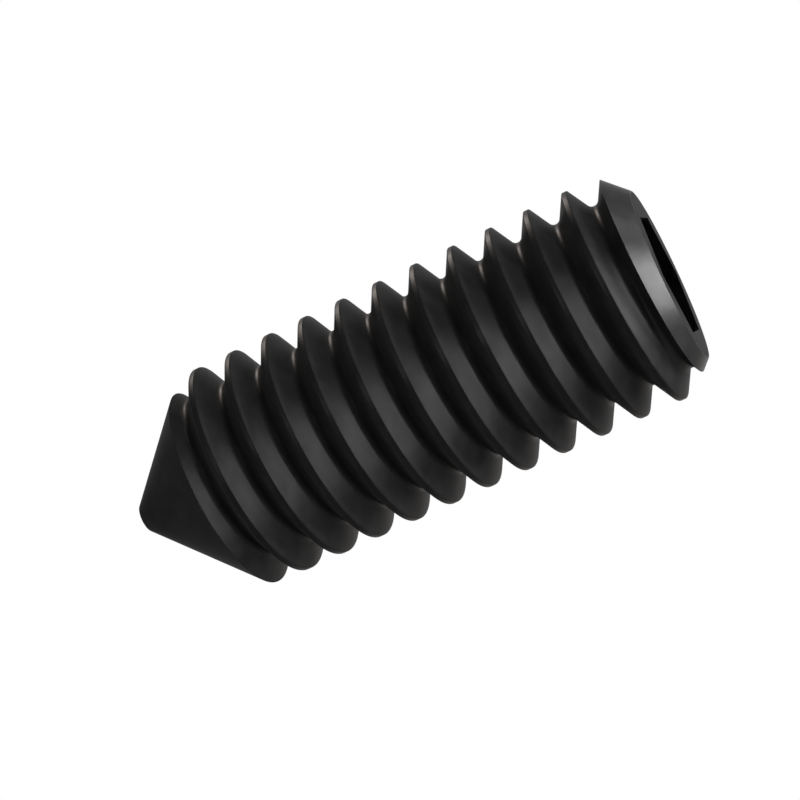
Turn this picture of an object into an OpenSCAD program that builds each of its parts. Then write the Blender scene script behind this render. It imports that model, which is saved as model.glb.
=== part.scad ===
// Grub set screw with a hexagon socket and a cone point
// It stands on its socket end with the point up
// The origin is the centre of the socket end, and all sizes are in millimetres

/* [Thread] */
// Diameter over the crests of the thread
thread_d = 3.93; // [3.6:0.01:6]
// Rise of the thread in one turn
pitch = 0.7; // [0.5:0.05:1]
// Width of the flat crest as a share of the pitch
crest_share = 0.125; // [0.1:0.005:0.2]
// Depth of the thread as a share of the pitch
depth_share = 0.6; // [0.5:0.01:0.65]
// Turn of the thread about the screw's axis in degrees
thread_turn = 186; // [0:2:358]
// Steps that cut one turn of the thread
turn_steps = 36; // [24:4:48]

/* [Body] */
// Length from the socket end to the tip of the point
body_length = 10; // [8:0.5:16]
// Height of the 45 degree chamfer at the socket end
end_chamfer = 0.455; // [0.2:0.005:0.5]
// Angle across the cone point in degrees
point_angle = 90; // [80:5:120]
// Diameter of the small flat that ends the point
tip_flat_d = 0.48; // [0.1:0.02:0.8]

/* [Socket] */
// Hexagon socket across its flats
socket_flats = 2.05; // [1.5:0.05:2.2]
// Depth of the socket's six flat walls
socket_depth = 2.5; // [1.5:0.1:3]
// Angle across the drilled bottom under the flats in degrees
drill_angle = 120; // [110:2:130]

/* [Hidden] */

thread_r = thread_d / 2;
half_point = point_angle / 2;
cone_z = body_length - (thread_r - tip_flat_d / 2) / tan(half_point);

// The flanks lean 30 degrees each, and a round root touches them both
crest_half = crest_share * pitch / 2;
groove_r = thread_r - depth_share * pitch;
root_r = (pitch / 2 - crest_half) / tan(30) - depth_share * pitch;

// The groove is cut a little past the crests, where its neighbouring turns stay apart
groove_over = 0.05 * pitch;
mouth_half = pitch / 2 - crest_half + groove_over * tan(30);

// Groove outline as radius and height, from the lower lip through the root to the upper lip
groove_line = [
    [thread_r + groove_over, -mouth_half],
    for (a = [-60 : 30 : 60]) [groove_r + root_r * (1 - cos(a)), root_r * sin(a)],
    [thread_r + groove_over, mouth_half]
];

// The groove starts below the socket end and stops in the air beside the cone
groove_start = -0.55 * pitch;
groove_end = body_length - (groove_r - tip_flat_d / 2) / tan(half_point) + 0.3 * pitch;
steps = ceil((groove_end - groove_start) / pitch * turn_steps);
gn = len(groove_line);

function groove_ring(k) = let(
    a = 360 * k / turn_steps + thread_turn,
    z = groove_start + pitch * k / turn_steps
) [for (q = groove_line) [q[0] * cos(a), q[0] * sin(a), q[1] + z]];

groove_points = [for (k = [0 : steps]) each groove_ring(k)];

// Two triangles close each side of each step
groove_sides = [for (k = [0 : steps - 1], i = [0 : gn - 1]) let(
    a = k * gn + i,
    b = k * gn + (i + 1) % gn
) each [[a, a + gn, b], [b, a + gn, b + gn]]];

// Fans of triangles close the two ends
first_end = [for (i = [1 : gn - 2]) [0, i, i + 1]];
last_end = [for (i = [1 : gn - 2]) [steps * gn, steps * gn + i + 1, steps * gn + i]];

module blank() {
    rotate_extrude($fn = 96)
        polygon([
            [0, 0],
            [thread_r - end_chamfer, 0],
            [thread_r, end_chamfer],
            [thread_r, cone_z],
            [tip_flat_d / 2, body_length],
            [0, body_length]
        ]);
}

module thread_groove() {
    polyhedron(points = groove_points, faces = concat(groove_sides, first_end, last_end), convexity = 20);
}

module hex_socket() {
    translate([0, 0, -1])
        rotate([0, 0, 30])
            cylinder(h = socket_depth + 1, d = socket_flats / cos(30), $fn = 6);
    translate([0, 0, socket_depth])
        cylinder(h = socket_flats / 2 / tan(drill_angle / 2), r1 = socket_flats / 2, r2 = 0, $fn = 48);
}

module set_screw() {
    color([0.09, 0.09, 0.09])
        difference() {
            blank();
            thread_groove();
            hex_socket();
        }
}

set_screw();
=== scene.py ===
import math

import bmesh
import bpy
from mathutils import Matrix, Vector


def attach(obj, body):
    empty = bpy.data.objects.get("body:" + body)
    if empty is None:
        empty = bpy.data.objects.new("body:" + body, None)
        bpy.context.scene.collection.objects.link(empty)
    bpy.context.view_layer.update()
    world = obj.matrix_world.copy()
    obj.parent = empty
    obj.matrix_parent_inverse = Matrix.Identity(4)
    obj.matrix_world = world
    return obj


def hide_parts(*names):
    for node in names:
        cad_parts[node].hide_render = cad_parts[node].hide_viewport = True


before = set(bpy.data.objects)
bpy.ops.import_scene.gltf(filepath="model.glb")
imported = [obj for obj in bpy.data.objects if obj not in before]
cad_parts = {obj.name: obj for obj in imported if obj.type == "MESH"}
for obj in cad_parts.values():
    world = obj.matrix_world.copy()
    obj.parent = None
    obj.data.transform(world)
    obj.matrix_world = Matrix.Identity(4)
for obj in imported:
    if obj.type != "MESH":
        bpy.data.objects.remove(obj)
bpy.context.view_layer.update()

MM = 0.001
TAU = 2 * math.pi

# Sizes in millimetres, the same as in the part's source
THREAD_D = 3.93
PITCH = 0.7
CREST = 0.125 * PITCH
DEPTH = 0.6 * PITCH
TURN = math.radians(186)
LENGTH = 10
CHAMFER = 0.455
TIP_D = 0.48
FLATS = 2.05
SOCKET = 2.5
DRILL_ANGLE = math.radians(120)

# Radius of the crests and of the flat face, the height where the cone would come to a point,
# and the height where the groove's middle passes the angle TURN
R = THREAD_D / 2
FACE_R = R - CHAMFER
APEX = LENGTH + TIP_D / 2
GROOVE_START = -0.55 * PITCH

# Rounding of the edges in millimetres
CREST_ROUND = 0.018
FACE_ROUND = 0.03
CONE_ROUND = 0.12
TIP_ROUND = 0.05

# Steps round the axis
THREAD_STEPS = 144
OUTLINE_STEPS = 288
DRILL_STEPS = 96

# How far the outline stays outside the crests and the drilled hole inside the flats, how far
# its cone starts above the socket's bottom, and how far the cutting tools reach past their cuts
OUTSIDE = 0.006
INSIDE = 0.004
ABOVE = 0.001
PAST = 1

# Vertices nearer than this are one, and edges that bend more than this stay sharp
WELD = 1e-5
SHARP = math.radians(24)

# The camera's place in millimetres, its directions and its lens, from a fit of the screw's
# outline and the socket's corners in the photograph, and how near and far it sees in metres
CAMERA_AT = (-0.803, -36.933, -3.309)
CAMERA_LOOK = (0.021199, 0.975351, 0.219639)
CAMERA_UP = (0.908256, 0.073036, -0.411992)
SENSOR_WIDTH = 36
LENS = 100.859
CLIP_START = 0.001
CLIP_END = 10

# The oxide by place: base colour in linear light, weight of the metal and its tint towards the
# rim. The base colour carries painted light and shade: the root's is painted shade in the groove,
# the flanks' is lighter as painted light from the socket's end, and the chamfer's is lighter,
# partly for its smoother turned finish and partly as a painted highlight. The tint is lower on
# the face, chamfer and cone, and the chamfer is less rough
CREST_TONE = 0.0095
FLANK_PAINTED_LIGHT_TONE = 0.017
ROOT_PAINTED_SHADE_TONE = 0.005
SOCKET_TONE = 0.009
CHAMFER_TONE_AND_PAINTED_HIGHLIGHT = 0.0285
CONE_TONE = 0.0107
METAL = 0.4
CHAMFER_METAL = 0.6
CONE_METAL = 0.3
CREST_TINT = 0.6
FLANK_TINT = 0.5
ROOT_TINT = 0.65
END_TINT_DROP = 0.1
ROUGHNESS = (0.35, 0.39)
CHAMFER_ROUGHNESS_DROP = 0.06

# Shares of the groove's reach where the flank starts and ends and the root starts and ends.
# The reach is deeper than the groove, because the socket's walls lie past the root
FLANK_START = 0.08
FLANK_END = 0.75
ROOT_START = 0.8
ROOT_END = 0.88
GROOVE_REACH = 1.25 * DEPTH

# A surface within this many millimetres of the face, the chamfer or the cone belongs to it
NEAR = 0.02

# Mottle, clouds and bump: their scale in metres, detail and strength, the bump's height in
# millimetres, and the part of the noise that mottle and clouds use
MOTTLE_SCALE = 3000
MOTTLE_DETAIL = 5
MOTTLE = 0.1
CLOUD_SCALE = 2200
CLOUD_DETAIL = 2
CLOUDS = 0.14
BUMP_SCALE = 9000
BUMP_DETAIL = 3
BUMP_STRENGTH = 0.08
BUMP_HEIGHT = 0.02
NOISE_LOW = 0.3
NOISE_HIGH = 0.7

# The floor in metres and its finish, and the world's level for what isn't seen directly
FLOOR_R = 0.4
FLOOR_DROP = 0.00002
FLOOR_STEPS = 64
FLOOR_GREY = 0.86
FLOOR_ROUGHNESS = 0.9
FLOOR_GLOSS = 0.1
WORLD_LEVEL = 0.4

# Distances of the lamps in metres, and the colour of the warm ones
FAR = 0.5
CLOSE = 0.1
WARM = (1, 0.88, 0.8)


def make_camera():
    data = bpy.data.cameras.new("camera")
    cam = bpy.data.objects.new("camera", data)
    bpy.context.scene.collection.objects.link(cam)
    back = -Vector(CAMERA_LOOK)
    right = Vector(CAMERA_UP).cross(back).normalized()
    up = back.cross(right).normalized()
    back.normalize()
    m = Matrix((right, up, back)).transposed().to_4x4()
    m.translation = Vector(CAMERA_AT) * MM
    cam.matrix_world = m
    data.sensor_fit = "HORIZONTAL"
    data.sensor_width = SENSOR_WIDTH
    data.lens = LENS
    data.clip_start = CLIP_START
    data.clip_end = CLIP_END
    bpy.context.scene.camera = cam


def arc(centre, radius, start, end, steps):
    """Points on an arc in the plane of radius and height, its angles in degrees."""
    points = []
    for k in range(steps + 1):
        a = math.radians(start + (end - start) * k / steps)
        points.append((centre[0] + radius * math.cos(a), centre[1] + radius * math.sin(a)))
    return points


def thread_line():
    """One pitch of the thread from crest to crest, as radius and height."""
    half = CREST / 2
    tan30 = math.tan(math.radians(30))
    edge = arc((R - CREST_ROUND, half - CREST_ROUND * tan30), CREST_ROUND, 0, 60, 4)
    root_r = (PITCH / 2 - half) / tan30 - DEPTH
    root = arc((R - DEPTH + root_r, PITCH / 2), root_r, 240, 180, 6)
    middle = ((edge[-1][0] + root[0][0]) / 2, (edge[-1][1] + root[0][1]) / 2)
    line = [(R, 0)] + edge + [middle] + root
    back = [(r, PITCH - z) for r, z in reversed(line[1:-1])]
    return line + back


def thread_solid():
    """The endless thread, longer than the screw, closed by a fan at each end."""
    line = thread_line()
    start = GROOVE_START - 1.5 * PITCH
    turns = math.ceil((LENGTH - 2 * start) / PITCH)
    last = turns * THREAD_STEPS
    bm = bmesh.new()

    def vert(k, r, h):
        a = TURN + TAU * k / THREAD_STEPS
        z = start + PITCH * k / THREAD_STEPS + h
        return bm.verts.new((r * math.cos(a), r * math.sin(a), z))

    # Each ring ends on the helix that it starts on, one turn further
    helix = [vert(k, *line[0]) for k in range(last + THREAD_STEPS + 1)]
    inner = [[vert(k, r, h) for r, h in line[1:]] for k in range(last + 1)]
    rings = [[helix[k]] + inner[k] + [helix[k + THREAD_STEPS]] for k in range(last + 1)]
    for ring, after in zip(rings, rings[1:]):
        for j in range(len(line)):
            bm.faces.new((ring[j], after[j], after[j + 1], ring[j + 1]))

    ends = (
        (start, helix[:THREAD_STEPS + 1], rings[0]),
        (start + PITCH * turns, helix[last:], rings[-1]),
    )
    for z, turn, ring in ends:
        middle = bm.verts.new((0, 0, z + PITCH / 2))
        rim = turn + ring[-2:0:-1]
        for a, b in zip(rim, rim[1:] + rim[:1]):
            bm.faces.new((a, b, middle))
    return bm


def turned(line, steps):
    """A closed solid turned round the axis from radius and height, both ends on the axis."""
    bm = bmesh.new()
    first = bm.verts.new((0, 0, line[0][1]))
    last = bm.verts.new((0, 0, line[-1][1]))
    angles = [TAU * k / steps for k in range(steps)]
    rows = []
    for r, z in line[1:-1]:
        rows.append([bm.verts.new((r * math.cos(a), r * math.sin(a), z)) for a in angles])
    for k in range(steps):
        q = (k + 1) % steps
        bm.faces.new((first, rows[0][q], rows[0][k]))
        bm.faces.new((last, rows[-1][k], rows[-1][q]))
        for a, b in zip(rows, rows[1:]):
            bm.faces.new((a[k], a[q], b[q], b[k]))
    return bm


def outline_solid():
    """The screw's outline without its thread: face, chamfer, barrel and cone."""
    tan22 = math.tan(math.radians(22.5))
    out = R + OUTSIDE
    line = [(0, 0)]
    line += arc((FACE_R - FACE_ROUND * tan22, FACE_ROUND), FACE_ROUND, -90, -45, 4)
    line += [(out, out - FACE_R)]
    line += arc((out - CONE_ROUND, APEX - out - CONE_ROUND * tan22), CONE_ROUND, 0, 45, 6)
    line += arc((TIP_D / 2 - TIP_ROUND * tan22, LENGTH - TIP_ROUND), TIP_ROUND, 45, 90, 5)
    line += [(0, LENGTH)]
    return turned(line, OUTLINE_STEPS)


def socket_solid():
    """The hexagon prism of the socket, from below the face to the socket's depth."""
    bm = bmesh.new()
    corner_r = FLATS / math.sqrt(3)
    angles = [math.radians(30 + 60 * k) for k in range(6)]
    corners = [(corner_r * math.cos(a), corner_r * math.sin(a)) for a in angles]
    low = [bm.verts.new((x, y, -PAST)) for x, y in corners]
    high = [bm.verts.new((x, y, SOCKET)) for x, y in corners]
    bm.faces.new(low[::-1])
    bm.faces.new(high)
    for k in range(6):
        q = (k + 1) % 6
        bm.faces.new((low[k], low[q], high[q], high[k]))
    return bm


def drill_solid():
    """The drilled hole, just inside the flats, with its cone under the socket."""
    r = FLATS / 2 - INSIDE
    low = SOCKET - PAST
    high = SOCKET + ABOVE
    line = [(0, low), (r, low), (r, high), (0, high + r / math.tan(DRILL_ANGLE / 2))]
    return turned(line, DRILL_STEPS)


def make_object(name, bm):
    bmesh.ops.recalc_face_normals(bm, faces=bm.faces)
    mesh = bpy.data.meshes.new(name)
    bm.to_mesh(mesh)
    bm.free()
    obj = bpy.data.objects.new(name, mesh)
    bpy.context.scene.collection.objects.link(obj)
    return obj


def cut(obj, tool, operation):
    """Apply a boolean to the object's mesh and remove the tool."""
    mod = obj.modifiers.new("cut", "BOOLEAN")
    mod.operation = operation
    mod.solver = "MANIFOLD"
    mod.object = tool
    dg = bpy.context.evaluated_depsgraph_get()
    mesh = bpy.data.meshes.new_from_object(obj.evaluated_get(dg))
    obj.modifiers.remove(mod)
    old = obj.data
    obj.data = mesh
    bpy.data.meshes.remove(old)
    bpy.data.objects.remove(tool, do_unlink=True)


def make_screw():
    """The screw, cut in millimetres and then brought to metres."""
    screw = make_object("screw_body", thread_solid())
    cut(screw, make_object("outline_tool", outline_solid()), "INTERSECT")
    cut(screw, make_object("socket_tool", socket_solid()), "DIFFERENCE")
    cut(screw, make_object("drill_tool", drill_solid()), "DIFFERENCE")
    bm = bmesh.new()
    bm.from_mesh(screw.data)
    bmesh.ops.remove_doubles(bm, verts=bm.verts, dist=WELD)
    bmesh.ops.dissolve_degenerate(bm, edges=bm.edges, dist=WELD)
    for face in bm.faces:
        face.smooth = True
    for edge in bm.edges:
        edge.smooth = len(edge.link_faces) == 2 and edge.calc_face_angle(0) < SHARP
    bmesh.ops.scale(bm, vec=(MM, MM, MM), verts=bm.verts)
    bm.to_mesh(screw.data)
    bm.free()
    screw.data.materials.clear()
    screw.data.materials.append(black_oxide())
    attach(screw, "root")
    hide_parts("set_screw")


def math_node(nt, operation, *values):
    """A Math node's output; each value is a number or an output to link."""
    node = nt.nodes.new("ShaderNodeMath")
    node.operation = operation
    for socket, value in zip(node.inputs, values):
        if isinstance(value, (int, float)):
            socket.default_value = value
        else:
            nt.links.new(value, socket)
    return node.outputs["Value"]


def map_range(nt, value, from_min, from_max, to_min, to_max):
    node = nt.nodes.new("ShaderNodeMapRange")
    node.inputs["From Min"].default_value = from_min
    node.inputs["From Max"].default_value = from_max
    node.inputs["To Min"].default_value = to_min
    node.inputs["To Max"].default_value = to_max
    nt.links.new(value, node.inputs["Value"])
    return node.outputs["Result"]


def noise(nt, coord, scale, detail):
    node = nt.nodes.new("ShaderNodeTexNoise")
    node.inputs["Scale"].default_value = scale
    node.inputs["Detail"].default_value = detail
    nt.links.new(coord, node.inputs["Vector"])
    return node.outputs["Fac"]


def grey_ramp(nt, value, stops):
    """A ramp's output through places and grey levels, in linear light."""
    node = nt.nodes.new("ShaderNodeValToRGB")
    elements = node.color_ramp.elements
    elements.remove(elements[1])
    for k, (place, grey) in enumerate(stops):
        stop = elements[0] if k == 0 else elements.new(place)
        stop.position = place
        stop.color = (grey, grey, grey, 1)
    nt.links.new(value, node.inputs["Fac"])
    return node.outputs["Color"]


def places(nt, coord):
    """How far down in the groove a point is, and whether it is on the face, chamfer or cone."""
    split = nt.nodes.new("ShaderNodeSeparateXYZ")
    nt.links.new(coord, split.inputs["Vector"])
    x, y, z = (split.outputs[k] for k in "XYZ")
    radius = math_node(nt, "SQRT", math_node(nt, "MULTIPLY_ADD", x, x, math_node(nt, "MULTIPLY", y, y)))

    # Depth below the turned outline, none on crests, chamfer and cone and most in the socket
    outline = math_node(nt, "MINIMUM", math_node(nt, "ADD", z, FACE_R * MM), R * MM)
    outline = math_node(nt, "MINIMUM", outline, math_node(nt, "SUBTRACT", APEX * MM, z))
    depth = math_node(nt, "SUBTRACT", outline, radius)
    groove = map_range(nt, depth, 0, GROOVE_REACH * MM, 0, 1)
    groove = math_node(nt, "MULTIPLY", groove, math_node(nt, "GREATER_THAN", z, NEAR * MM))
    groove = math_node(nt, "MULTIPLY", groove, math_node(nt, "LESS_THAN", z, (LENGTH - NEAR) * MM))

    face = math_node(nt, "LESS_THAN", z, NEAR * MM)
    rise = math_node(nt, "SUBTRACT", radius, z)
    chamfer = math_node(nt, "COMPARE", rise, FACE_R * MM, NEAR * MM)
    fall = math_node(nt, "ADD", radius, z)
    cone = math_node(nt, "COMPARE", fall, APEX * MM, NEAR * MM)
    return groove, face, chamfer, cone


def black_oxide():
    """Satin black oxide, with painted shade darkest in the root, painted light on the flanks and a
    painted highlight that makes the chamfer lightest.
    """
    mat = bpy.data.materials.new("black_oxide")
    mat.use_nodes = True
    nt = mat.node_tree
    bsdf = nt.nodes["Principled BSDF"]
    bsdf.inputs["Specular IOR Level"].default_value = 0
    coord = nt.nodes.new("ShaderNodeTexCoord").outputs["Object"]
    groove, face, chamfer, cone = places(nt, coord)
    mottle = noise(nt, coord, MOTTLE_SCALE, MOTTLE_DETAIL)
    clouds = noise(nt, coord, CLOUD_SCALE, CLOUD_DETAIL)

    tones = (
        (0, CREST_TONE),
        # The flank's stops are lighter than the crest's as painted light from the socket's end
        (FLANK_START, FLANK_PAINTED_LIGHT_TONE),
        (FLANK_END, FLANK_PAINTED_LIGHT_TONE),
        # The root's stops are painted shade in the groove
        (ROOT_START, ROOT_PAINTED_SHADE_TONE),
        (ROOT_END, ROOT_PAINTED_SHADE_TONE),
        (1, SOCKET_TONE),
    )
    tone = grey_ramp(nt, groove, tones)
    # The chamfer's lighter tone is partly its smoother turned finish and partly a painted highlight
    tone = math_node(nt, "MULTIPLY_ADD", chamfer, CHAMFER_TONE_AND_PAINTED_HIGHLIGHT - CREST_TONE, tone)
    tone = math_node(nt, "MULTIPLY_ADD", cone, CONE_TONE - CREST_TONE, tone)
    for pattern, amount in ((mottle, MOTTLE), (clouds, CLOUDS)):
        share = map_range(nt, pattern, NOISE_LOW, NOISE_HIGH, 1 - amount, 1 + amount)
        tone = math_node(nt, "MULTIPLY", tone, share)
    nt.links.new(tone, bsdf.inputs["Base Color"])

    metal = math_node(nt, "MULTIPLY_ADD", chamfer, CHAMFER_METAL - METAL, METAL)
    metal = math_node(nt, "MULTIPLY_ADD", cone, CONE_METAL - METAL, metal)
    nt.links.new(metal, bsdf.inputs["Metallic"])

    tints = (
        (0, CREST_TINT),
        (FLANK_START, FLANK_TINT),
        (FLANK_END, FLANK_TINT),
        (ROOT_START, ROOT_TINT),
    )
    ends = math_node(nt, "MAXIMUM", math_node(nt, "ADD", chamfer, cone), face)
    tint = math_node(nt, "MULTIPLY_ADD", ends, -END_TINT_DROP, grey_ramp(nt, groove, tints))
    nt.links.new(tint, bsdf.inputs["Specular Tint"])

    rough = map_range(nt, mottle, NOISE_LOW, NOISE_HIGH, *ROUGHNESS)
    rough = math_node(nt, "MULTIPLY_ADD", chamfer, -CHAMFER_ROUGHNESS_DROP, rough)
    nt.links.new(rough, bsdf.inputs["Roughness"])

    bump = nt.nodes.new("ShaderNodeBump")
    bump.inputs["Strength"].default_value = BUMP_STRENGTH
    bump.inputs["Distance"].default_value = BUMP_HEIGHT * MM
    nt.links.new(noise(nt, coord, BUMP_SCALE, BUMP_DETAIL), bump.inputs["Height"])
    nt.links.new(bump.outputs["Normal"], bsdf.inputs["Normal"])
    return mat


def floor_material():
    """A pale matt floor that is clear from below and to the lamps, and shows the screw's shadow."""
    mat = bpy.data.materials.new("floor")
    mat.use_nodes = True
    nt = mat.node_tree
    bsdf = nt.nodes["Principled BSDF"]
    bsdf.inputs["Base Color"].default_value = (FLOOR_GREY, FLOOR_GREY, FLOOR_GREY, 1)
    bsdf.inputs["Roughness"].default_value = FLOOR_ROUGHNESS
    bsdf.inputs["Specular IOR Level"].default_value = FLOOR_GLOSS
    clear = nt.nodes.new("ShaderNodeBsdfTransparent")
    side = nt.nodes.new("ShaderNodeNewGeometry")
    path = nt.nodes.new("ShaderNodeLightPath")
    mix = nt.nodes.new("ShaderNodeMixShader")
    unseen = math_node(nt, "MAXIMUM", side.outputs["Backfacing"], path.outputs["Is Shadow Ray"])
    nt.links.new(unseen, mix.inputs["Fac"])
    nt.links.new(bsdf.outputs["BSDF"], mix.inputs[1])
    nt.links.new(clear.outputs["BSDF"], mix.inputs[2])
    nt.links.new(mix.outputs["Shader"], nt.nodes["Material Output"].inputs["Surface"])
    return mat


def make_floor():
    bm = bmesh.new()
    angles = [TAU * k / FLOOR_STEPS for k in range(FLOOR_STEPS)]
    bm.faces.new([bm.verts.new((FLOOR_R * math.cos(a), FLOOR_R * math.sin(a), 0)) for a in angles])
    floor = make_object("floor", bm)
    floor.location.z = -FLOOR_DROP
    floor.data.materials.append(floor_material())
    floor.visible_glossy = False


def make_world():
    """A world that the camera and the gloss see as white, and that lights the rest less."""
    world = bpy.data.worlds.new("studio")
    bpy.context.scene.world = world
    world.use_nodes = True
    nt = world.node_tree
    back = nt.nodes["Background"]
    path = nt.nodes.new("ShaderNodeLightPath")
    shown = math_node(nt, "MAXIMUM", path.outputs["Is Camera Ray"], path.outputs["Is Glossy Ray"])
    shown = math_node(nt, "MAXIMUM", shown, path.outputs["Is Transmission Ray"])
    back.inputs["Color"].default_value = (1, 1, 1, 1)
    nt.links.new(map_range(nt, shown, 0, 1, WORLD_LEVEL, 1), back.inputs["Strength"])


def lamp(name, direction, distance, size, level, colour=(1, 1, 1), shadow=True):
    """A soft lamp that faces the screw's middle; at level 1 a white wall there comes out white."""
    data = bpy.data.lights.new(name, "AREA")
    data.shape = "ELLIPSE"
    data.size, data.size_y = size
    data.energy = math.pi ** 2 * distance ** 2 * level
    data.color = colour
    data.use_shadow = shadow
    data.cycles.use_multiple_importance_sampling = shadow
    obj = bpy.data.objects.new(name, data)
    bpy.context.scene.collection.objects.link(obj)
    back = Vector(direction).normalized()
    right = Vector((0, 0, 1)).cross(back).normalized()
    m = Matrix((right, back.cross(right), back)).transposed().to_4x4()
    m.translation = Vector((0, 0, LENGTH * MM / 2)) + back * distance
    obj.matrix_world = m


def make_lamps():
    """The light comes mostly from the socket's end, as in the photograph, and from above and behind."""
    lamp("lamp_top", direction=(-0.35, -0.1, 1), distance=FAR, size=(0.3, 0.3), level=0.36)
    lamp("lamp_below", direction=(-0.02, 0.27, -0.96), distance=CLOSE, size=(0.062, 0.032),
         level=0.85, shadow=False)
    lamp("lamp_end", direction=(0, -0.01, -1), distance=CLOSE, size=(0.07, 0.03), level=1.3)
    lamp("lamp_rim", direction=(0.6, 0.15, -0.79), distance=CLOSE, size=(0.035, 0.035), level=0.15)
    lamp("lamp_back", direction=(0.776, 0.606, 0.174), distance=FAR, size=(0.15, 0.15),
         level=1.1, colour=WARM)
    lamp("lamp_side", direction=(-0.6, 0.8, -0.05), distance=FAR, size=(0.5, 0.5),
         level=0.22, colour=WARM)
    lamp("lamp_front", direction=(0.35, -0.91, 0.2), distance=FAR, size=(0.1, 0.1), level=0.2)


make_camera()
make_world()
make_screw()
make_floor()
make_lamps()
bpy.context.scene.view_settings.view_transform = "Standard"
